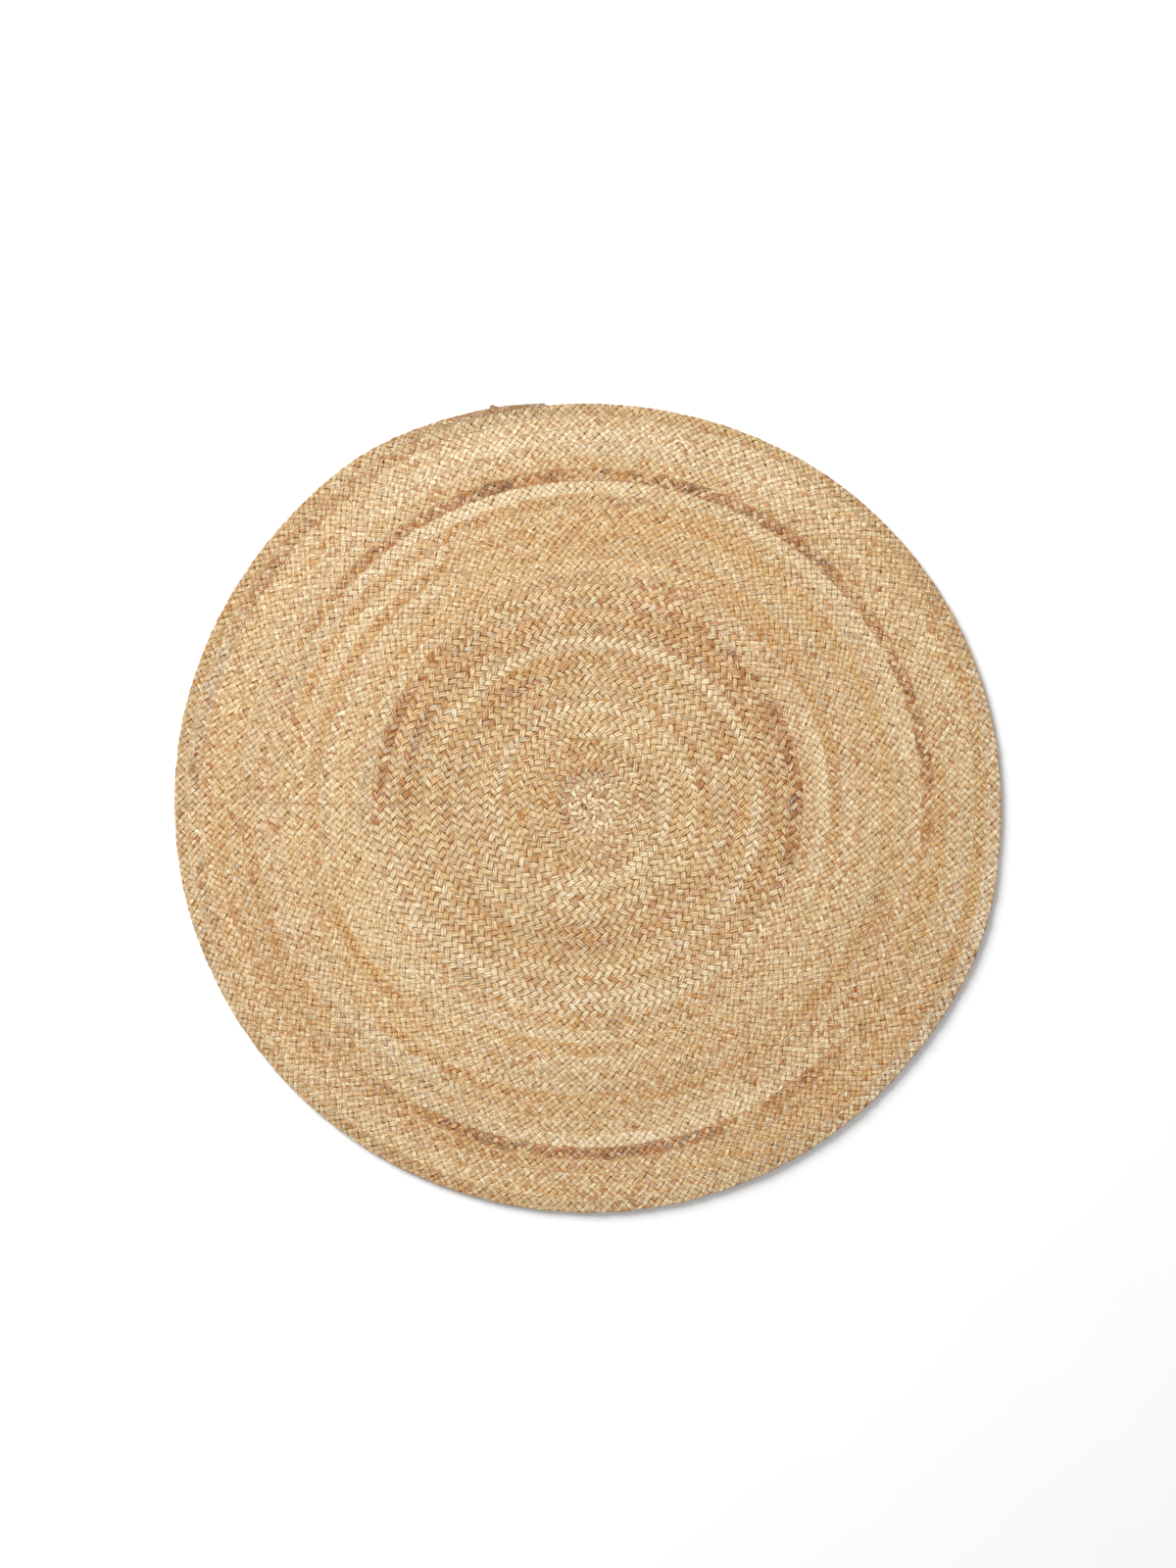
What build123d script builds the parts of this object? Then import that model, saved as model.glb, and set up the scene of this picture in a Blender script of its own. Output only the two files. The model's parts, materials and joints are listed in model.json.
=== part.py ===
from build123d import *
from math import cos, isclose, radians, sin, sqrt
import os

# Round braided jute rug, in millimetres.
#
# A flat plait is wound clockwise into a coil and sewn edge to edge. The coil is drawn with half
# circles about two centres, half a turn's spacing apart, so each turn lies close against the last.
# The plait has three strands near the middle and five further out, at one and the same width.
# Plait, thread and strand end are soft, so each is a plain closed solid of its true size and place.
# +Z is up, and the origin is the middle of the rug's underside.

os.makedirs("parts", exist_ok=True)

TURN_SPACING = 19.0  # from the middle of one turn to the middle of the next
PLAIT_WIDTH = 18.9  # leaves a hairline between turns, which only the stitches cross
PLAIT_THICKNESS = 9.0
EDGE_ROUNDING = 3.0

INNER_TURNS = 16  # whole turns of the three-strand plait
OUTER_TURNS = 31  # whole turns of the coil, both plaits together
JOIN_ANGLE = 45.0  # where the three-strand plait ends and the five-strand plait begins

# The outer end narrows and is tucked against the turn before it.
TAPER_ANGLE = 125.0
TIP_ANGLE = 97.0
TIP_WIDTH = 5.0
TAPER_BULGE = 1.0
TIP_ROUNDING = 1.5

SEAM_THREAD_WIDTH = 1.0
SEAM_THREAD_THICKNESS = 0.6
TACK_THREAD_RADIUS = 0.5
TACK_STITCHES = 5
TACK_START_ANGLE = 98.0
TACK_PITCH_ANGLE = 0.6
TACK_INSET = 6.0  # how far the stitches reach into the turn inside the end
TACK_REACH = 4.0  # and how far over the end itself

STUB_ANGLE = 104.2
STUB_RADIUS = 2.2
STUB_LENGTH = 9.0
STUB_ROUNDING = 1.3

# The centres of the upper (+Y) and lower (-Y) half circles. The quarter spacing brings the middle
# of the whole outline to the origin.
UPPER_CENTRE = Vector(TURN_SPACING / 2, TURN_SPACING / 4)
LOWER_CENTRE = Vector(0, TURN_SPACING / 4)


def section_plane(centre, angle):
    """The upright plane through a centre whose x axis points outwards at that angle."""
    c, s = cos(radians(angle)), sin(radians(angle))
    return Plane(origin=centre, x_dir=(c, s, 0), z_dir=(s, -c, 0))


def on_circle(centre, radius, angle):
    """The point at that radius and angle from a centre."""
    return centre + Vector(cos(radians(angle)), sin(radians(angle))) * radius


def save(part, name):
    """Labels a part with its name and writes its STEP file."""
    part.label = name
    export_step(part, f"parts/{name}.step")


def upper_radius(turn):
    """The middle radius of a turn's upper half. Its lower half lies half a spacing further out."""
    return (turn - 0.5) * TURN_SPACING


def upper_half(turn, start=0.0, end=180.0):
    return (UPPER_CENTRE, upper_radius(turn), start, end - start)


def lower_half(turn):
    return (LOWER_CENTRE, upper_radius(turn) + TURN_SPACING / 2, 180.0, 180.0)


def plait(name, arcs):
    """A stretch of flat-oval plait along arcs, each (centre, middle radius, start, swept angle)."""
    with BuildPart() as stretch:
        for centre, radius, start, swept in arcs:
            with BuildSketch(section_plane(centre, start)):
                with Locations((radius, PLAIT_THICKNESS / 2)):
                    RectangleRounded(PLAIT_WIDTH, PLAIT_THICKNESS, EDGE_ROUNDING)
            revolve(axis=Axis(centre, (0, 0, 1)), revolution_arc=swept)
    save(stretch.part, name)


def coil_start():
    """The half-round beginning of the plait, which the first turn wraps."""
    with BuildPart() as start:
        with BuildSketch(section_plane(LOWER_CENTRE, 180.0)):
            with Locations((0, PLAIT_THICKNESS / 2)):
                RectangleRounded(PLAIT_WIDTH, PLAIT_THICKNESS, EDGE_ROUNDING)
            with Locations((-PLAIT_WIDTH / 4, PLAIT_THICKNESS / 2)):
                Rectangle(PLAIT_WIDTH / 2, PLAIT_THICKNESS, mode=Mode.SUBTRACT)
        revolve(axis=Axis(LOWER_CENTRE, (0, 0, 1)), revolution_arc=180)
    save(start.part, "coil_start")


def outer_end():
    """The last part of the coil, which narrows to a tip beside the turn inside it."""
    inside = upper_radius(OUTER_TURNS + 1) - PLAIT_WIDTH / 2
    outside = inside + PLAIT_WIDTH
    tip = inside + TIP_WIDTH
    bulge = (outside + tip) / 2 + TAPER_BULGE
    with BuildPart() as end:
        with BuildSketch():
            with BuildLine():
                CenterArc(UPPER_CENTRE, outside, TAPER_ANGLE, 180 - TAPER_ANGLE)
                Line(on_circle(UPPER_CENTRE, outside, 180), on_circle(UPPER_CENTRE, inside, 180))
                CenterArc(UPPER_CENTRE, inside, TIP_ANGLE, 180 - TIP_ANGLE)
                Line(on_circle(UPPER_CENTRE, inside, TIP_ANGLE), on_circle(UPPER_CENTRE, tip, TIP_ANGLE))
                ThreePointArc(
                    on_circle(UPPER_CENTRE, tip, TIP_ANGLE),
                    on_circle(UPPER_CENTRE, bulge, (TIP_ANGLE + TAPER_ANGLE) / 2),
                    on_circle(UPPER_CENTRE, outside, TAPER_ANGLE),
                )
            make_face()
        extrude(amount=PLAIT_THICKNESS)
        level = end.edges().filter_by(GeomType.CIRCLE)
        inner = [edge for edge in level if isclose(edge.radius, inside, abs_tol=0.01)]
        outer = [edge for edge in level if edge not in inner]
        fillet(inner, EDGE_ROUNDING)
        fillet(outer, TIP_ROUNDING)
    save(end.part, "outer_end")


def seam_thread(name, height):
    """One sewing thread, pressed flat along the whole groove between neighbouring turns."""
    with BuildPart() as thread:
        for half in range(2 * OUTER_TURNS):
            upper = half % 2 == 1
            last = half == 2 * OUTER_TURNS - 1
            centre = UPPER_CENTRE if upper else LOWER_CENTRE
            start = (TIP_ANGLE if last else 0.0) if upper else 180.0
            swept = 180.0 - start if upper else 180.0
            with BuildSketch(section_plane(centre, start)):
                with Locations(((half + 1) * TURN_SPACING / 2, height)):
                    Rectangle(SEAM_THREAD_WIDTH, SEAM_THREAD_THICKNESS)
            revolve(axis=Axis(centre, (0, 0, 1)), revolution_arc=swept)
    save(thread.part, name)


def end_tack():
    """The zigzag of thread that holds the narrowed tip down."""
    seam = OUTER_TURNS * TURN_SPACING
    radii = (seam - TACK_INSET, seam + TACK_REACH)
    height = PLAIT_THICKNESS + TACK_THREAD_RADIUS
    points = [
        on_circle(UPPER_CENTRE, radii[i % 2], TACK_START_ANGLE + i * TACK_PITCH_ANGLE) + Vector(0, 0, height)
        for i in range(2 * TACK_STITCHES)
    ]
    with BuildPart() as tack:
        with BuildLine() as path:
            Polyline(points)
        with BuildSketch(Plane(origin=points[0], z_dir=path.line % 0)):
            Circle(TACK_THREAD_RADIUS)
        sweep(transition=Transition.ROUND)
    save(tack.part, "end_tack")


def strand_stub():
    """The cut end of one strand, which stands out of the narrowed end's side."""
    share = (STUB_ANGLE - TIP_ANGLE) / (TAPER_ANGLE - TIP_ANGLE)
    inside = upper_radius(OUTER_TURNS + 1) - PLAIT_WIDTH / 2
    edge = inside + TIP_WIDTH + share * (PLAIT_WIDTH - TIP_WIDTH)
    centre = on_circle(UPPER_CENTRE, edge + STUB_RADIUS + TAPER_BULGE, STUB_ANGLE)
    along = section_plane(UPPER_CENTRE, STUB_ANGLE).z_dir
    foot = centre + Vector(0, 0, PLAIT_THICKNESS / 2) - along * STUB_LENGTH / 2
    with BuildPart() as stub:
        with BuildSketch(Plane(origin=foot, z_dir=along)):
            Circle(STUB_RADIUS)
        extrude(amount=STUB_LENGTH)
        fillet(stub.edges().filter_by(GeomType.CIRCLE), STUB_ROUNDING)
    save(stub.part, "strand_stub")


coil_start()
for turn in range(1, INNER_TURNS + 1):
    plait(f"inner_turn_{turn:02d}", [upper_half(turn), lower_half(turn)])

join_turn = INNER_TURNS + 1
plait("inner_end", [upper_half(join_turn, start=JOIN_ANGLE)])
plait(f"outer_turn_{join_turn}", [upper_half(join_turn, end=JOIN_ANGLE), lower_half(join_turn)])
for turn in range(join_turn + 1, OUTER_TURNS + 1):
    plait(f"outer_turn_{turn}", [upper_half(turn), lower_half(turn)])
outer_end()

# A seam thread sinks until its edges meet the rounded sides of the two turns that it joins.
bite = (SEAM_THREAD_WIDTH - (TURN_SPACING - PLAIT_WIDTH)) / 2
groove = sqrt(EDGE_ROUNDING**2 - (EDGE_ROUNDING - bite) ** 2) + SEAM_THREAD_THICKNESS / 2
seam_thread("seam_thread_top", PLAIT_THICKNESS - EDGE_ROUNDING + groove)
seam_thread("seam_thread_under", EDGE_ROUNDING - groove)
end_tack()
strand_stub()
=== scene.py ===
import json
from dataclasses import dataclass
from math import pi, radians

import bpy
import numpy as np
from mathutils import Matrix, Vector


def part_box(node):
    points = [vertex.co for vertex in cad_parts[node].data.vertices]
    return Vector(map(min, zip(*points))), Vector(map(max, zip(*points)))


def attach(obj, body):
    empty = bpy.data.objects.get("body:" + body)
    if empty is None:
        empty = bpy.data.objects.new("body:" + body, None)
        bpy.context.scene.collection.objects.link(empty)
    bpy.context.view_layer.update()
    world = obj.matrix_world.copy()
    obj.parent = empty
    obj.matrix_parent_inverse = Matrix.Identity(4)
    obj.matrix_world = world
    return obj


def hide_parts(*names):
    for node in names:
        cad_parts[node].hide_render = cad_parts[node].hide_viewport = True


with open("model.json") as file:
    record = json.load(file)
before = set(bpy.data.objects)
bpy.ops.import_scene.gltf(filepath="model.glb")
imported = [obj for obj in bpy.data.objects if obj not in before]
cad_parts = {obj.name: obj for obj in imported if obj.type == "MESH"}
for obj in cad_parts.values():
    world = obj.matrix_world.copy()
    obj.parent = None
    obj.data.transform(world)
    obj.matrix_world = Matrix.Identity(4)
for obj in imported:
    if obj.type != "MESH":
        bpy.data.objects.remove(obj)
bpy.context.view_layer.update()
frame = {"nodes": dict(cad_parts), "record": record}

# Round braided jute rug, in metres. One plait is wound clockwise into a flat coil and sewn edge to
# edge. It has three strands near the middle and five further out. Every strand is built along its
# own course, over and under the others, as two plies side by side. Each turn of the coil is one piece.

# ---------------------------------------------------------------- the coil, read from the frame


def box_width(node):
    low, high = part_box(node)
    return high.x - low.x


TURNS = max(int(name[-2:]) for name in frame["nodes"] if name.startswith("outer_turn_"))
SPACING = (box_width("inner_turn_02") - box_width("inner_turn_01")) / 2
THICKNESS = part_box(f"outer_turn_{TURNS}")[1].z
MIDDLE = THICKNESS / 2

# The coil is drawn with half circles about two centres, half a turn's spacing apart.
last_low, last_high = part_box(f"outer_turn_{TURNS}")
LOWER_CENTRE = np.array([(last_low.x + last_high.x) / 2, last_low.y + (last_high.x - last_low.x) / 2])
UPPER_CENTRE = LOWER_CENTRE + (SPACING / 2, 0)
HALF_RADII = SPACING / 2 * np.arange(1, 2 * TURNS + 2)
HALF_STARTS = np.concatenate([[0], np.cumsum(pi * HALF_RADII)])
COIL_LENGTH = HALF_STARTS[-1]
RUG_RADIUS = HALF_RADII[-1]

JOIN_TURN = 17  # where the three-strand plait ends and the five-strand plait begins
JOIN_ANGLE = radians(45)
TAPER_ANGLE = radians(125)  # from here on the outer end narrows
TIP_ANGLE = radians(97)
TIP_WIDTH = 0.005
START_LENGTH = 0.0092  # of the half-round beginning, which the first turn wraps


def distance_at(turn, angle):
    """How far along the coil the upper half of a turn passes that angle."""
    half = 2 * (turn - 1)
    return HALF_STARTS[half] + HALF_RADII[half] * (pi - angle)


JOIN = distance_at(JOIN_TURN, JOIN_ANGLE)
TAPER = distance_at(TURNS + 1, TAPER_ANGLE)
TIP = distance_at(TURNS + 1, TIP_ANGLE)


def on_coil(along, outward):
    """The x and y of points along the coil's middle line, moved outwards across the plait.
    Before the coil's start, the line runs on straight."""
    half = np.clip(np.searchsorted(HALF_STARTS, along, side="right") - 1, 0, 2 * TURNS)
    is_upper = half % 2 == 0
    radius = HALF_RADII[half]
    angle = np.where(is_upper, pi, 0) - np.maximum(along - HALF_STARTS[half], 0) / radius
    centre_x = np.where(is_upper, UPPER_CENTRE[0], LOWER_CENTRE[0])
    before = np.minimum(along, 0)
    x = centre_x + (radius + outward) * np.cos(angle) + before * np.sin(angle)
    y = LOWER_CENTRE[1] + (radius + outward) * np.sin(angle) - before * np.cos(angle)
    return np.stack([x, y], axis=-1)


# ---------------------------------------------------------------- small irregularities

OVALITY = 0.0036
OVAL_TURN = radians(-8)

# Lumps of the outline: the angle, how far each spreads and how far it stands out.
BULGES = [
    (radians(341), radians(11), 0.0060),
    (radians(122), radians(12), 0.0035),
    (radians(78), radians(16), -0.0035),
]

# How uneven hand braiding is: the size and the wavelength of each random change along the coil.
# Phases are in radians, and places and heights in metres. The rest are shares of what they change.
WOBBLES = {
    "plait phase": (0.40, 0.11),
    "strand phase": (0.16, 0.03),
    "plait place": (0.0005, 0.09),
    "strand place": (0.0004, 0.05),
    "strand height": (0.0002, 0.03),
    "strand width": (0.12, 0.022),
    "ply thickness": (0.08, 0.018),
    "ply split": (1.0, 0.018),
    "bed height": (0.0003, 0.01),
    "seam place": (0.0003, 0.02),
    "band strength": (0.9, 0.035),
    "shade": (0.05, 0.008),
}


def drift(along, wavelength, seed):
    """Smooth random variation along the coil, from -1 to 1."""
    knots = np.random.default_rng(seed).uniform(-1, 1, int(COIL_LENGTH / wavelength) + 6)
    place = along / wavelength + 2
    knot = place.astype(int)
    share = place - knot
    share = share * share * (3 - 2 * share)
    return knots[knot] * (1 - share) + knots[knot + 1] * share


def wobble(along, kind, seed):
    """One of the plait's random changes, at distances along the coil."""
    size, wavelength = WOBBLES[kind]
    return size * drift(along, wavelength, seed)


def hand_made(points):
    """The rug's slightly oval, lumpy outline, which fades out towards the middle."""
    centre = LOWER_CENTRE + (SPACING / 4, 0)
    offset = points[..., :2] - centre
    radius = np.hypot(offset[..., 0], offset[..., 1])
    angle = np.arctan2(offset[..., 1], offset[..., 0])
    share = radius / RUG_RADIUS
    growth = OVALITY * np.cos(2 * (angle - OVAL_TURN)) * share
    for at, spread, height in BULGES:
        away = (angle - at + pi) % (2 * pi) - pi
        growth += height * np.exp(-((away / spread) ** 2)) * share**5
    moved = points.copy()
    moved[..., :2] += offset * (growth / np.maximum(radius, 1e-6))[..., None]
    return moved


# ---------------------------------------------------------------- colours


def srgb(red, green, blue):
    """A colour given as the eye sees it, 0 to 255, as the linear values that Blender uses."""
    share = np.array([red, green, blue]) / 255
    return np.where(share <= 0.04045, share / 12.92, ((share + 0.055) / 1.055) ** 2.4)


STRAW = srgb(227, 209, 160)
CREAM = srgb(245, 237, 211)
GOLD = srgb(218, 177, 110)
RUST = srgb(190, 136, 78)
BROWN = srgb(128, 90, 60)
GREY = srgb(200, 189, 166)

# Bands of the coil that run through rustier or paler lots of jute, clockwise from the left: radius,
# radius gained in a turn, share of the turn at the band's two ends, spread and strength.
RUST_BANDS = [
    (0.470, 0.058, 0.08, 1.00, 0.009, 0.85),
    (0.500, 0.000, 0.86, 1.06, 0.010, 0.55),
    (0.302, 0.004, -0.05, 0.60, 0.006, 0.75),
    (0.303, 0.012, 0.72, 1.10, 0.007, 0.50),
    (0.264, 0.006, -0.05, 0.26, 0.006, 0.70),
    (0.192, 0.004, 0.05, 0.42, 0.005, 0.55),
    (0.089, 0.006, -0.05, 0.55, 0.005, 0.55),
    (0.574, 0.000, -0.10, 0.16, 0.008, 0.50),
    (0.430, 0.030, 0.50, 1.10, 0.024, 0.30),
    (0.285, 0.000, 0.28, 0.62, 0.022, 0.35),
]
PALE_BANDS = [
    (0.326, 0.004, 0.42, 0.72, 0.005, 0.70),
    (0.388, 0.006, -0.05, 0.22, 0.007, 0.60),
    (0.350, 0.000, -0.05, 0.25, 0.016, 0.40),
    (0.535, 0.010, 0.10, 0.95, 0.012, 0.35),
    (0.205, 0.000, 0.40, 1.05, 0.014, 0.35),
    (0.030, 0.000, -0.05, 1.05, 0.035, 0.80),
]


def band_strength(bands, radius, turned):
    """How strongly any band covers points, by their radius and their share of a turn."""
    total = np.zeros(len(radius))
    for at, gain, first, last, spread, strength in bands:
        for share in (turned, turned - 1, turned + 1):
            across = np.exp(-(((radius - at - gain * share) / spread) ** 2))
            ends = np.clip((share - first) / 0.05, 0, 1) * np.clip((last - share) / 0.05, 0, 1)
            total = np.maximum(total, strength * across * ends)
    return total


def blend(colour, other, share):
    return colour + (other - colour) * np.clip(share, 0, 1)[:, None]


# What changes each strand's colour on its own: the wavelength in metres, and what is added to the
# strand's seed.
STRAND_DRIFTS = {
    "stretch": (0.30, 11),
    "float": (0.0125, 12),
    "next_float": (0.016, 13),
    "greyed": (0.33, 14),
    "short": (0.055, 16),
    "batch": (0.42, 17),
    "long": (0.80, 18),
}

# The colours that are blended over the straw, in turn: the share that each has without any cause,
# and how much each cause adds to it. A share below nothing leaves the colour out.
COLOUR_CAUSES = [
    (CREAM, 0.42, {"pale": 0.50, "next_float": 0.14, "batch": 0.30, "lot": 0.36, "rust": -0.40}),
    (GOLD, 0.18, {"stretch": 0.50, "lot": -0.40, "float": 0.16, "short": 0.14}),
    (RUST, 0.0, {"spotted": 0.80, "rust": 0.35, "spliced": 0.60, "run": 0.90, "odd": 1.40}),
    (BROWN, -1.365, {"rust": 1.30, "next_float": 0.65}),
    (GREY, -0.85, {"greyed": 1.50, "short": 0.30}),
    (GREY, 0.0, {"end": 0.75}),
]


def colour_causes(along, seed):
    """What decides a strand's colour along its length: the rug's bands, lots of jute, splices, odd
    floats and the worn end."""
    offset = (on_coil(along, 0 * along) - LOWER_CENTRE).T
    radius = np.hypot(*offset)
    turned = (pi - np.arctan2(offset[1], offset[0])) / (2 * pi)
    bands = band_strength(RUST_BANDS, radius, turned)
    causes = {name: drift(along, wave, seed + row) for name, (wave, row) in STRAND_DRIFTS.items()}
    causes["rust"] = bands * (1 + wobble(along, "band strength", seed + 10))
    causes["pale"] = band_strength(PALE_BANDS, radius, turned)
    causes["lot"] = 0.6 * drift(along, 0.90, 900) + 0.6 * drift(along, 0.23, 901)
    causes["run"] = np.maximum(causes["long"] - 0.30, 0)
    causes["odd"] = np.maximum(causes["float"] - 0.60, 0)
    causes["spliced"] = np.maximum(1.6 * np.abs(causes["stretch"] + 0.5 * causes["short"]) - 1.15, 0)
    spots = causes["rust"] + 0.45 * causes["float"] + 0.25 * causes["short"]
    causes["spotted"] = np.maximum(2.0 * (spots - 0.52), 0)
    causes["end"] = np.maximum(along - TAPER, 0) / (TIP - TAPER)
    return causes


def strand_colour(along, seed):
    """The colour of one strand along its length."""
    causes = colour_causes(along, seed)
    colour = np.tile(STRAW, (len(along), 1))
    for other, always, weights in COLOUR_CAUSES:
        share = always + sum(weight * causes[name] for name, weight in weights.items())
        colour = blend(colour, other, share)
    return colour * (1 + wobble(along, "shade", seed + 15))[:, None]


# ---------------------------------------------------------------- strands and meshes

SIDES = 6
ROUNDNESS = 0.85  # a true oval has 1, and one with fuller corners has less
FIBRE_TWIST = 90.0  # radians of twist in each metre of strand
FIBRE_GIRTH = 0.003  # the radius of the strand that the fibres are drawn on
STRAND_SEED = 0.37  # sets each strand's fibres apart from the next one's
PLY_FIBRES = 7  # strands by which the second ply's fibres are set apart from the first's
BED_FIBRES = 20  # the same for the beds

PLY_WIDTH = 0.58  # each ply's share of its strand's width, so that the two overlap
PLY_THICKNESS = 0.97
PLY_FULLNESS = 0.25  # how much thicker a ply is for each share of width that it gains

TIGHTNESS = 0.5  # how much closer the floats are at the start of the coil
TIGHT_LENGTH = 0.9
TIGHT_NARROWING = 0.2
SEAM_DROP = 0.0005  # how far the stitches pull the plait's two edges down

# The bed is the strands' middle layer at a seam, as deep as one can see between the floats.
BED_WIDTH = 0.011
BED_THICKNESS = 0.003
BED_DEPTH = 0.0021
BED_SIDES = 8

# Towards the tip the plait sinks and its strands are thinned.
TUCK_DEPTH = 0.002
TUCK_LENGTH = 0.10
THINNED_LENGTH = 0.05
THINNED_SHARE = 0.3
NARROW_SHARE = 0.35  # of a strand's width is left where the plait has none


def tightness(along):
    """How much of its first tightness the plait still has: 1 at the start, fading outwards."""
    return np.exp(-np.maximum(along, 0) / TIGHT_LENGTH)


@dataclass
class Plait:
    """How many strands there are, and the way each of them swings from side to side."""

    strands: int
    pitch: float  # between neighbouring floats, along the coil
    swing: float  # to each side of the middle, before the overtones
    third: float  # the overtones, which make the path straighter between its turns
    fifth: float
    crossing: float  # how abruptly a strand passes from over to under
    lift: float  # how far it rises over the others and dips under them
    flat: tuple  # its width and thickness where it crosses the plait
    on_edge: tuple  # and where it turns back
    split: float  # how unevenly its two plies share its width
    steps: int  # in one whole swing

    @property
    def period(self):
        """The length of one whole swing along the coil."""
        return self.strands * self.pitch

    @property
    def reach(self):
        """How far to each side the swing gets with its overtones."""
        return self.swing * (1 - self.third + self.fifth)

    def course(self, strand, along, seed):
        """The strand's place across the plait and its height, at distances along the coil."""
        gained = TIGHTNESS * TIGHT_LENGTH * (1 - tightness(along))
        phase = 2 * pi * ((along + gained) / self.period + strand / self.strands)
        phase += wobble(along, "plait phase", 40) + wobble(along, "strand phase", seed + 5)
        across = np.sin(phase) + self.third * np.sin(3 * phase) + self.fifth * np.sin(5 * phase)
        firm = np.arctan2(self.crossing * np.sin(2 * phase), 1 + self.crossing * np.cos(2 * phase))
        height = MIDDLE + self.lift * np.sin((self.strands - 1) * phase + firm)
        height -= SEAM_DROP * np.clip(np.abs(self.swing * across) / self.reach, 0, 1) ** 3
        return self.swing * across, height


THREE = Plait(
    strands=3,
    pitch=0.0121,
    swing=0.0063,
    third=-0.11,
    fifth=0.03,
    crossing=0.3,
    lift=0.0016,
    flat=(0.0070, 0.0054),
    on_edge=(0.0098, 0.0080),
    split=0.16,
    steps=20,
)
FIVE = Plait(
    strands=5,
    pitch=0.0107,
    swing=0.0085,
    third=0.020,
    fifth=-0.036,
    crossing=0.85,
    lift=-0.0018,
    flat=(0.0076, 0.0052),
    on_edge=(0.0054, 0.0074),
    split=0.32,
    steps=22,
)


def plait_width_share(along):
    """How much of its full width the plait has: it rounds off at the start and narrows to the tip."""
    start = np.sqrt(np.clip(1 - (np.minimum(along, 0) / (SPACING / 2)) ** 2, 0.03, 1))
    narrowed = np.clip((along - TAPER) / (TIP - TAPER), 0, 1)
    return start * (1 - narrowed * (1 - TIP_WIDTH / SPACING))


def strand_line(plait, strand, along, seed):
    """The points of one strand's middle line, and its place across the plait at each."""
    across, height = plait.course(strand, along, seed)
    across = across + wobble(along, "strand place", seed + 1) + wobble(along, "plait place", 41)
    share = plait_width_share(along)
    tucked = np.where(along > TAPER, -SPACING / 2, 0)
    across = tucked + (across - tucked) * share
    height = MIDDLE + (height - MIDDLE) * (1 + share) / 2 + wobble(along, "strand height", seed + 2)
    height -= TUCK_DEPTH * np.clip((along - TIP) / TUCK_LENGTH + 1, 0, 1) ** 2
    return np.column_stack([on_coil(along, across), height]), across


def level_normals(line):
    """The directions along a line, and those square to it on the level."""
    forward = np.gradient(line, axis=0)
    forward /= np.linalg.norm(forward, axis=1, keepdims=True)
    level = np.cross((0, 0, 1), forward)
    return forward, level / np.linalg.norm(level, axis=1, keepdims=True)


def tube(line, wide, thick, sides=SIDES, roundness=ROUNDNESS):
    """Rings of points around a line: flat ovals that lie level and square to the line."""
    forward, level = level_normals(line)
    upright = np.cross(forward, level)
    turn = 2 * pi * (np.arange(sides) + 0.5) / sides
    flat = np.sign(np.cos(turn)) * np.abs(np.cos(turn)) ** roundness
    high = np.sign(np.sin(turn)) * np.abs(np.sin(turn)) ** roundness
    sideways = (wide / 2)[:, None, None] * flat[None, :, None] * level[:, None, :]
    upwards = (thick / 2)[:, None, None] * high[None, :, None] * upright[:, None, :]
    return line[:, None, :] + sideways + upwards


def strand_plies(plait, strand, along, seed):
    """The rings of points around the two plies that lie side by side in one strand."""
    line, across = strand_line(plait, strand, along, seed)
    turned = np.clip(np.abs(across) / plait.reach, 0, 1) ** 3
    wide, thick = (flat + (on_edge - flat) * turned for flat, on_edge in zip(plait.flat, plait.on_edge))
    share = NARROW_SHARE + (1 - NARROW_SHARE) * plait_width_share(along)
    share *= np.clip((TIP - along) / THINNED_LENGTH, THINNED_SHARE, 1)
    narrowed = 1 - TIGHT_NARROWING * tightness(along)
    wide *= (1 + wobble(along, "strand width", seed + 3)) * share * narrowed
    level = level_normals(line)[1]
    split = plait.split * wobble(along, "ply split", seed + 6)
    for ply, side in enumerate((-1, 1)):
        part = PLY_WIDTH + side * split
        offset = side * (1 - part) / 2 * wide
        fullness = PLY_THICKNESS + PLY_FULLNESS * side * split
        fullness += wobble(along, "ply thickness", seed + 4 + 20 * ply)
        yield tube(line + offset[:, None] * level, part * wide, thick * fullness * share)


def bed(along):
    """The rings of points around the bed of the seam to the turn inside."""
    across = np.full(len(along), -SPACING / 2)
    height = np.full(len(along), THICKNESS - BED_DEPTH - BED_THICKNESS / 2)
    line = np.column_stack([on_coil(along, across), height + wobble(along, "bed height", 61)])
    share = plait_width_share(along)
    return tube(line, BED_WIDTH * share, BED_THICKNESS * share, sides=BED_SIDES)


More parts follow.
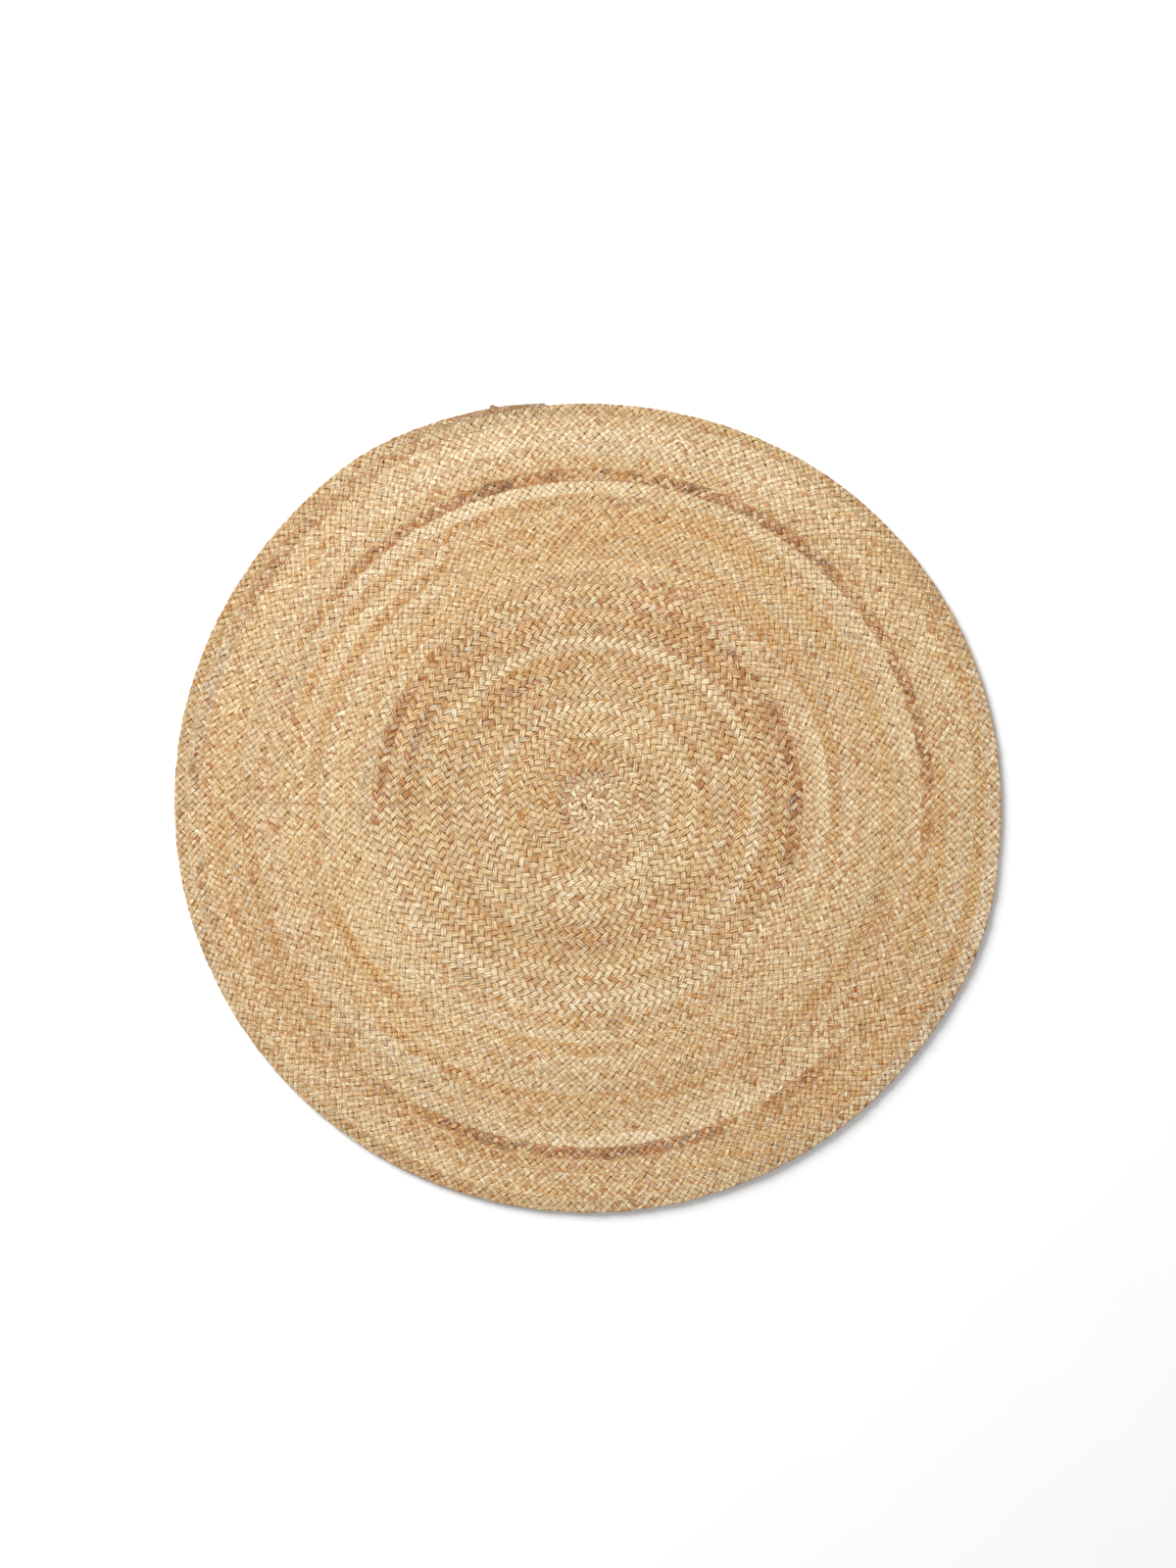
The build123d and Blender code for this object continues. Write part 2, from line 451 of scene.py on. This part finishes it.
class Pile:
    """Collects tubes and their attributes, then makes one mesh of them."""

    def __init__(self):
        self.points, self.colours, self.fibres = [], [], []
        self.corners, self.starts, self.smooth = [], [], []
        self.count = 0
        self.corner_count = 0

    def add_faces(self, corners, per_face, smooth):
        """Faces of so many corners each, given one after the other."""
        faces = len(corners) // per_face
        self.corners.append(corners)
        self.starts.append(self.corner_count + per_face * np.arange(faces))
        self.smooth.append(np.full(faces, smooth))
        self.corner_count += len(corners)

    def add_tube(self, rings, colour, along, strand):
        """A closed tube through rings of points, with its colours and its fibre directions."""
        length, sides, _ = rings.shape
        index = self.count + np.arange(length * sides).reshape(length, sides)
        beside = np.roll(index, -1, axis=1)
        quads = np.stack([index[:-1], beside[:-1], beside[1:], index[1:]], axis=-1)
        self.add_faces(quads.ravel(), 4, True)
        self.add_faces(index[0, ::-1].copy(), sides, False)
        self.add_faces(index[-1].copy(), sides, False)
        turn = 2 * pi * np.arange(sides)[None, :] / sides + FIBRE_TWIST * along[:, None]
        fibre = np.empty((length, sides, 3))
        fibre[..., 0] = FIBRE_GIRTH * np.cos(turn) + STRAND_SEED * strand
        fibre[..., 1] = FIBRE_GIRTH * np.sin(turn)
        fibre[..., 2] = along[:, None]
        self.points.append(rings.reshape(-1, 3))
        self.colours.append(np.repeat(colour, sides, axis=0))
        self.fibres.append(fibre.reshape(-1, 3))
        self.count += length * sides

    def mesh(self, name):
        """One mesh of all the tubes, pressed flat where they would reach below the floor."""
        points = hand_made(np.concatenate(self.points))
        points[:, 2] = np.maximum(points[:, 2], 0)
        made = bpy.data.meshes.new(name)
        made.vertices.add(len(points))
        made.vertices.foreach_set("co", points.ravel())
        corners = np.concatenate(self.corners)
        starts = np.concatenate(self.starts)
        made.loops.add(len(corners))
        made.loops.foreach_set("vertex_index", corners)
        made.polygons.add(len(starts))
        made.polygons.foreach_set("loop_start", starts)
        made.polygons.foreach_set("use_smooth", np.concatenate(self.smooth))
        colours = np.concatenate(self.colours)
        colours = np.column_stack([colours, np.ones(len(colours))])
        made.attributes.new("tint", "FLOAT_COLOR", "POINT").data.foreach_set("color", colours.ravel())
        fibres = np.concatenate(self.fibres)
        made.attributes.new("fibre", "FLOAT_VECTOR", "POINT").data.foreach_set("vector", fibres.ravel())
        # depth is 0 at the plait's top and underside and 1 at its middle height; the jute material
        # paints warm shade in the creases from it
        depth = 1 - np.abs(points[:, 2] / MIDDLE - 1)
        made.attributes.new("depth", "FLOAT", "POINT").data.foreach_set("value", depth)
        made.update(calc_edges=True)
        made.validate()
        return made


def add_piece(name, mesh, slot):
    """One piece of the rug, in the finish of that slot."""
    piece = bpy.data.objects.new(name, mesh)
    bpy.context.scene.collection.objects.link(piece)
    mesh.materials.append(MATERIALS[slot])
    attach(piece, "root")
    return piece


def stand_for(node, name, pile):
    """The pile as a piece that replaces one CAD node and has its finish."""
    piece = add_piece(name, pile.mesh(name), SLOTS[node])
    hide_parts(node)
    return piece


def plait_piece(node, plait, start, end):
    """A stretch of plait, all its strands, that stands for one CAD node. From the second half turn
    on, it has the bed of its seam too."""
    steps = max(4, round((end - start) * plait.steps / plait.period))
    along = np.linspace(start, end, steps + 1)
    pile = Pile()
    for strand in range(plait.strands):
        seed = 1000 * plait.strands + 100 * strand  # gives each strand its own random numbers
        for ply, rings in enumerate(strand_plies(plait, strand, along, seed)):
            pile.add_tube(rings, strand_colour(along, seed), along, strand + PLY_FIBRES * ply)
    if start >= HALF_STARTS[1]:
        sparse = np.linspace(start, end, steps // 2 + 1)
        pile.add_tube(bed(sparse), strand_colour(sparse, 70), sparse, BED_FIBRES)
    stand_for(node, f"{node}_strands", pile)


# ---------------------------------------------------------------- materials


class Nodes:
    """Short calls for building a material's node tree."""

    def __init__(self, name):
        self.material = bpy.data.materials.new(name)
        self.material.use_nodes = True
        self.tree = self.material.node_tree
        self.shader = self.tree.nodes["Principled BSDF"]

    def add(self, kind, settings=None, **inputs):
        node = self.tree.nodes.new(kind)
        for key, value in (settings or {}).items():
            setattr(node, key, value)
        for key, value in inputs.items():
            self.put(node.inputs[key.replace("_", " ")], value)
        return node

    def put(self, socket, value):
        if isinstance(value, bpy.types.NodeSocket):
            self.tree.links.new(value, socket)
        else:
            socket.default_value = value

    def attribute(self, name, output):
        return self.add("ShaderNodeAttribute", {"attribute_name": name}).outputs[output]

    def noise(self, vector, scale, detail=3.0):
        node = self.add("ShaderNodeTexNoise", Vector=vector, Scale=scale, Detail=detail, Roughness=0.6)
        return node.outputs["Fac"]

    def grain(self, vector, scales, detail=3.0):
        """Noise that is stretched by a scale of its own in each direction."""
        node = self.add("ShaderNodeVectorMath", {"operation": "MULTIPLY"})
        self.put(node.inputs[0], vector)
        self.put(node.inputs[1], scales)
        return self.noise(node.outputs["Vector"], 1.0, detail)

    def remap(self, value, low, high, to_low=0.0, to_high=1.0):
        """The value led smoothly from one range to the other."""
        node = self.add("ShaderNodeMapRange", {"interpolation_type": "SMOOTHSTEP"}, Value=value)
        limits = {"From Min": low, "From Max": high, "To Min": to_low, "To Max": to_high}
        for key, number in limits.items():
            node.inputs[key].default_value = number
        return node.outputs["Result"]

    def mix(self, share, first, second, blend_type="MIX"):
        node = self.add("ShaderNodeMix", {"data_type": "RGBA", "blend_type": blend_type})
        self.put(node.inputs["Factor"], share)
        self.put(node.inputs[6], first)
        self.put(node.inputs[7], second)
        return node.outputs[2]

    def dyed(self, colour, dye):
        """The colour multiplied by a dye, which is given as the eye sees it."""
        return self.mix(1.0, colour, rgba(srgb(*dye)), "MULTIPLY")

    def bump(self, height, strength, distance):
        node = self.add("ShaderNodeBump", Height=height, Strength=strength, Distance=distance)
        return node.outputs["Normal"]


def rgba(colour):
    return (*[float(c) for c in colour], 1.0)


# Grain in cycles in a metre: across the strand, upright and along it.
FINE_GRAIN = (2200, 2200, 120)
STREAK_GRAIN = (560, 560, 60)
TOW_GRAIN = (430, 430, 55)
SLIVER_GRAIN = (420, 420, 50)
THREAD_GRAIN = (900, 900, 700)

# Colours that others are multiplied by, and the slivers' own, as the eye sees them.
# PAINTED_CREASE_SHADE is painted shade: the warm brown that the creases between floats are darkened by
PAINTED_CREASE_SHADE = (194, 152, 98)
TOW_DYE = (224, 188, 132)
FINE_DYE = (214, 178, 126)
THREAD_DYE = (190, 165, 135)
SLIVER = srgb(80, 58, 44)


def jute(name, dye=(255, 255, 255)):
    """Combed jute: pale and golden streaks along each strand, rare dark slivers, and painted warm shade
    in the creases.
    The dye is what the whole strand's colour is multiplied by."""
    n = Nodes(name)
    fibre = n.attribute("fibre", "Vector")
    depth = n.attribute("depth", "Fac")
    fine = n.grain(fibre, FINE_GRAIN)
    streak = n.grain(fibre, STREAK_GRAIN)
    tow = n.grain(fibre, TOW_GRAIN, detail=2.0)
    sliver = n.grain(fibre, SLIVER_GRAIN, detail=1.0)
    colour = n.dyed(n.attribute("tint", "Color"), dye)
    # Painted shade: the deeper a point lies between the floats, the more its colour is darkened to a
    # warm brown
    colour = n.mix(n.remap(depth, 0.12, 0.64, 0.0, 0.9), colour, n.dyed(colour, PAINTED_CREASE_SHADE))
    colour = n.mix(n.remap(tow, 0.36, 0.54, 0.9, 0.0), colour, n.dyed(colour, TOW_DYE))
    colour = n.mix(n.remap(fine, 0.34, 0.56, 0.5, 0.0), colour, n.dyed(colour, FINE_DYE))
    colour = n.mix(n.remap(streak, 0.50, 0.66, 0.0, 0.65), colour, rgba(CREAM))
    colour = n.mix(n.remap(sliver, 0.715, 0.745, 0.0, 0.9), colour, rgba(SLIVER))
    n.put(n.shader.inputs["Base Color"], colour)
    n.put(n.shader.inputs["Roughness"], n.remap(fine, 0.2, 0.8, 0.9, 0.62))
    n.put(n.shader.inputs["Normal"], n.bump(streak, 0.5, 0.0006))
    n.shader.inputs["Specular IOR Level"].default_value = 0.35
    return n.material


def thread():
    """Spun thread: two plies that wind round each other, with a little fuzz."""
    n = Nodes("sewing_thread")
    fibre = n.attribute("fibre", "Vector")
    tint = n.attribute("tint", "Color")
    plies = n.grain(fibre, THREAD_GRAIN)
    darker = n.dyed(tint, THREAD_DYE)
    n.put(n.shader.inputs["Base Color"], n.mix(n.remap(plies, 0.4, 0.6), darker, tint))
    n.put(n.shader.inputs["Roughness"], n.remap(plies, 0.2, 0.8, 0.85, 0.65))
    n.put(n.shader.inputs["Normal"], n.bump(plies, 0.4, 0.0002))
    return n.material


def floor_material():
    """A matt, nearly white floor with a faint mottle."""
    n = Nodes("pale_floor")
    place = n.add("ShaderNodeTexCoord").outputs["Object"]
    mottle = n.noise(place, 3.0)
    colour = n.mix(mottle, rgba(srgb(242, 242, 242)), rgba(srgb(245, 245, 245)))
    n.put(n.shader.inputs["Base Color"], colour)
    n.shader.inputs["Roughness"].default_value = 0.9
    return n.material


MATERIALS = {
    "jute_three_strand": jute("jute_three_strand"),
    "jute_five_strand": jute("jute_five_strand"),
    "jute_greyed": jute("jute_greyed", dye=(244, 244, 246)),
    "sewing_thread": thread(),
}
SLOTS = {part["node"]: part["material_slot"] for part in frame["record"]["subparts"]}

# ---------------------------------------------------------------- the rug

SEAM_STITCH = 0.008
SEAM_REACH = 0.0013  # to each side of the seam
SEAM_TENSION = 0.7  # the stitches' distance from the plait's middle, as a share of the CAD thread's

THREAD = srgb(206, 170, 122)
THREAD_WIDTH = 0.0010
THREAD_SIDES = 4
TACK_STITCHES = 5
TACK_INSET = 0.006  # how far the stitches reach into the turn inside the end
TACK_REACH = 0.004  # and how far over the end itself
TACK_START = radians(1.0)
TACK_PITCH = radians(0.6)
TACK_DIP = 0.0022
TACK_STEPS = 6

STUB_FIBRES = 70
STUB_FOOT = np.array([0.0038, -0.0030, 0])  # from the CAD strand end's middle to the fibres' feet
STUB_LEAN = np.array([-0.0072, 0.0022, 0])
STUB_DROOP = np.array([0, 0.0006, -0.0012])
STUB_FOOT_SPREAD = 0.0012
STUB_LEAN_SPREAD = 0.0011
STUB_FIBRE_WIDTH = 0.0013
STUB_LENGTH = 0.01

STRAY_FIBRES = 2600
STRAY_LENGTHS = (0.008, 0.024)
STRAY_WIDTHS = (0.00016, 0.00036)
STRAY_HEIGHTS = (-0.0011, 0.0005)  # of the fibre's ends over the plait
STRAY_ARCH = 0.0011
DARK_SHARE = 0.2
FIBRE_POINTS = 9


def build_plaits():
    plait_piece("coil_start", THREE, -START_LENGTH, 0)
    for turn in range(1, JOIN_TURN):
        plait_piece(f"inner_turn_{turn:02d}", THREE, HALF_STARTS[2 * turn - 2], HALF_STARTS[2 * turn])
    plait_piece("inner_end", THREE, HALF_STARTS[2 * JOIN_TURN - 2], JOIN)
    for turn in range(JOIN_TURN, TURNS + 1):
        start = max(JOIN, HALF_STARTS[2 * turn - 2])
        plait_piece(f"outer_turn_{turn}", FIVE, start, HALF_STARTS[2 * turn])
    plait_piece("outer_end", FIVE, HALF_STARTS[2 * TURNS], TIP)


def add_fibre(pile, line, size, sides, colour, along, strand, roundness=ROUNDNESS):
    """One fibre or thread of a single colour, as thick as it is wide."""
    rings = tube(line, size, size, sides, roundness)
    pile.add_tube(rings, np.tile(colour, (len(line), 1)), along, strand)


def thread_piece(node, name, line):
    """One length of sewing thread along a line of points."""
    pile = Pile()
    along = np.concatenate([[0], np.cumsum(np.linalg.norm(np.diff(line, axis=0), axis=1))])
    size = np.full(len(line), THREAD_WIDTH)
    add_fibre(pile, line, size, THREAD_SIDES, THREAD, along, strand=0, roundness=1.0)
    stand_for(node, name, pile)


def seam_line(node):
    """Zigzag stitches from turn to turn, drawn down into the groove between them."""
    low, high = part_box(node)
    height = MIDDLE + SEAM_TENSION * ((low.z + high.z) / 2 - MIDDLE)
    along = np.arange(HALF_STARTS[1], TIP, SEAM_STITCH / 2)
    side = np.where(np.arange(len(along)) % 2 == 0, -1, 1)
    across = -SPACING / 2 + SEAM_REACH * side + wobble(along, "seam place", 71)
    return np.column_stack([on_coil(along, across), np.full(len(along), height)])


def tack_line(node):
    """The stitches over the tucked end: up through the plait, over the top and down again."""
    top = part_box(node)[1].z - THREAD_WIDTH / 2
    stitch = np.arange(2 * TACK_STITCHES)
    along = TIP - HALF_RADII[-1] * (TACK_START + TACK_PITCH * stitch)
    ends = on_coil(along, np.where(stitch % 2 == 0, -TACK_INSET, TACK_REACH) - SPACING / 2)
    points = []
    for first, second in zip(ends[:-1], ends[1:]):
        for share in np.arange(TACK_STEPS) / TACK_STEPS:
            dip = TACK_DIP * (2 * share - 1) ** 4
            points.append((*(first + (second - first) * share), top - dip))
    return np.array(points)


def build_threads():
    thread_piece("seam_thread_top", "seam_stitches_top", seam_line("seam_thread_top"))
    thread_piece("seam_thread_under", "seam_stitches_under", seam_line("seam_thread_under"))
    thread_piece("end_tack", "end_tack_stitches", tack_line("end_tack"))


def build_stub():
    """The cut end of one strand: fibres that leave the plait together, bend back and fray."""
    low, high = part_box("strand_stub")
    middle = np.array((low + high) / 2)
    random = np.random.default_rng(31)
    pile = Pile()
    share = np.linspace(0, 1, FIBRE_POINTS)
    for fibre in range(STUB_FIBRES):
        start = middle + STUB_FOOT + STUB_FOOT_SPREAD * random.normal(size=3)
        lean = STUB_LEAN + STUB_LEAN_SPREAD * random.normal(size=3)
        line = start + np.outer(share, lean) + np.outer(share**2, STUB_DROOP)
        size = STUB_FIBRE_WIDTH * (1 - 0.55 * share)
        add_fibre(pile, line, size, 5, STRAW * random.uniform(0.80, 1.15), STUB_LENGTH * share, fibre)
    stand_for("strand_stub", "strand_stub_fibres", pile)


def stray_fibre(random):
    """A loose fibre somewhere on the rug: its points, the distance along the coil and its widths."""
    share = np.linspace(-0.5, 0.5, FIBRE_POINTS)
    middle = COIL_LENGTH * random.uniform(0.002, 0.985)
    length = random.uniform(*STRAY_LENGTHS)
    across = random.uniform(-0.5, 0.5) * SPACING
    slant = random.normal(0, 0.5) * length
    bow = random.normal(0, 0.25) * length
    along = middle + length * share
    height = random.uniform(*STRAY_HEIGHTS) + STRAY_ARCH * random.uniform(0, 1) * np.cos(pi * share)
    place = on_coil(along, across + slant * share + bow * share**2)
    size = random.uniform(*STRAY_WIDTHS) * (1.02 - np.abs(2 * share) ** 3)
    return np.column_stack([place, THICKNESS + height]), along, size


def stray_shade(random):
    """Most loose fibres are pale, and the rest are rust to brown."""
    if random.uniform() > DARK_SHARE:
        return CREAM * random.uniform(0.6, 1.0)
    return RUST * random.uniform(0.25, 0.8)


def build_stray_fibres():
    """Loose fibres that lie over the plait and stand a little out of its edge."""
    random = np.random.default_rng(57)
    pile = Pile()
    for fibre in range(STRAY_FIBRES):
        line, along, size = stray_fibre(random)
        add_fibre(pile, line, size, 4, stray_shade(random), along, fibre % 40)
    add_piece("stray_fibres", pile.mesh("stray_fibres"), "jute_five_strand")


build_plaits()
build_threads()
build_stub()
build_stray_fibres()

# ---------------------------------------------------------------- floor, light and camera

# The camera looks straight down, as in the photograph.
FRAME_WIDTH = 1.7143  # of the picture, level with the rug's top
FRAME_SHIFT = Vector((0.0007, 0.0343))  # from the rug's middle to the picture's
CAMERA_HEIGHT = 4.0  # over the rug's top

FLOOR_SIZE = 40.0
WORLD_STRENGTH = 0.52


def add_floor():
    bpy.ops.mesh.primitive_plane_add(size=FLOOR_SIZE)
    floor = bpy.context.object
    floor.name = "floor"
    floor.data.materials.append(floor_material())
    return floor


def link_light(lamp, floor, state):
    """Whether the lamp lights the floor alone (INCLUDE) or everything but the floor (EXCLUDE)."""
    receivers = bpy.data.collections.new(f"{lamp.name}_receivers")
    receivers.objects.link(floor)
    receivers.collection_objects[0].light_linking.link_state = state
    lamp.light_linking.receiver_collection = receivers


def add_light(name, place, size, power):
    """A round soft light that points at the rug's middle."""
    light = bpy.data.lights.new(name, "AREA")
    light.shape = "DISK"
    light.size = size
    light.energy = power
    lamp = bpy.data.objects.new(name, light)
    lamp.location = place
    lamp.rotation_euler = (-Vector(place)).to_track_quat("-Z", "Y").to_euler()
    bpy.context.scene.collection.objects.link(lamp)
    return lamp


def add_camera():
    camera = bpy.data.cameras.new("camera")
    camera.sensor_fit = "HORIZONTAL"
    camera.lens = camera.sensor_width * CAMERA_HEIGHT / FRAME_WIDTH
    holder = bpy.data.objects.new("camera", camera)
    holder.location = (FRAME_SHIFT.x, FRAME_SHIFT.y, CAMERA_HEIGHT + THICKNESS)
    bpy.context.scene.collection.objects.link(holder)
    bpy.context.scene.camera = holder


def add_world():
    world = bpy.data.worlds.new("studio")
    world.use_nodes = True
    background = world.node_tree.nodes["Background"]
    background.inputs["Color"].default_value = (1, 1, 1, 1)
    background.inputs["Strength"].default_value = WORLD_STRENGTH
    bpy.context.scene.world = world


floor = add_floor()
add_world()
soft_box = add_light("soft_box", place=(-2.2, 2.6, 4.2), size=3.0, power=281)
link_light(soft_box, floor, "EXCLUDE")
floor_light = add_light("floor_light", place=(-4.2, 4.5, 3.3), size=4.5, power=900)
link_light(floor_light, floor, "INCLUDE")
add_camera()
bpy.context.scene.view_settings.view_transform = "Standard"
